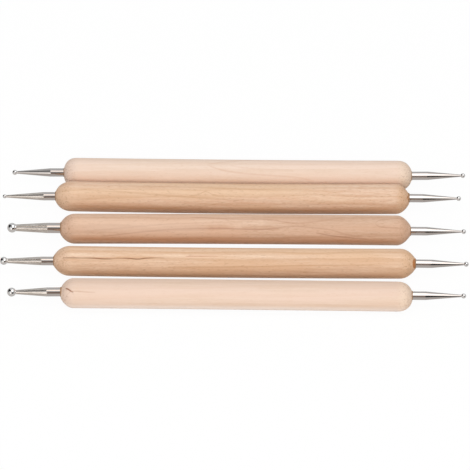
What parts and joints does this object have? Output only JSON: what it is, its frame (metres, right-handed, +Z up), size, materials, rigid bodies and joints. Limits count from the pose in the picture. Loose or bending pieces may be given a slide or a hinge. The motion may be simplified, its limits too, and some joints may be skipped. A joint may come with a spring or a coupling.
{
  "type": "embossing stylus",
  "caption": "Double-ended wooden embossing styluses laid side by side as a set, each with a tapered steel shank and ball tip glued into both domed ends.",
  "frame": {"origin": "on the table under the middle of the row, at the centre of the bounding box's footprint", "axes": "+X along the styluses to the right-hand tips, +Y from the front stylus (5) to the back one (1), +Z up"},
  "size_m": [0.1407, 0.0603, 0.009],
  "materials": {
    "wood_1": "smooth sanded maple or beech, thin matt lacquer",
    "wood_2": "smooth sanded maple or beech, thin matt lacquer",
    "wood_3": "smooth sanded maple or beech, thin matt lacquer",
    "wood_4": "smooth sanded maple or beech, thin matt lacquer",
    "wood_5": "smooth sanded maple or beech, thin matt lacquer",
    "shank_steel": "drawn bright steel, taper ground by hand",
    "ball_steel": "polished bearing ball",
    "glue": "hard amber-brown wood glue"
  },
  "bodies": {
    "root": {"stylus_1_handle": "wood_1", "stylus_1_left_shank": "shank_steel", "stylus_1_left_ball": "ball_steel", "stylus_1_left_glue": "glue", "stylus_1_right_shank": "shank_steel", "stylus_1_right_ball": "ball_steel", "stylus_1_right_glue": "glue", "stylus_2_handle": "wood_2", "stylus_2_left_shank": "shank_steel", "stylus_2_left_ball": "ball_steel", "stylus_2_left_glue": "glue", "stylus_2_right_shank": "shank_steel", "stylus_2_right_ball": "ball_steel", "stylus_2_right_glue": "glue", "stylus_3_handle": "wood_3", "stylus_3_left_shank": "shank_steel", "stylus_3_left_ball": "ball_steel", "stylus_3_left_glue": "glue", "stylus_3_right_shank": "shank_steel", "stylus_3_right_ball": "ball_steel", "stylus_3_right_glue": "glue", "stylus_4_handle": "wood_4", "stylus_4_left_shank": "shank_steel", "stylus_4_left_ball": "ball_steel", "stylus_4_left_glue": "glue", "stylus_4_right_shank": "shank_steel", "stylus_4_right_ball": "ball_steel", "stylus_4_right_glue": "glue", "stylus_5_handle": "wood_5", "stylus_5_left_shank": "shank_steel", "stylus_5_left_ball": "ball_steel", "stylus_5_left_glue": "glue", "stylus_5_right_shank": "shank_steel", "stylus_5_right_ball": "ball_steel", "stylus_5_right_glue": "glue"}
  },
  "joints": []
}
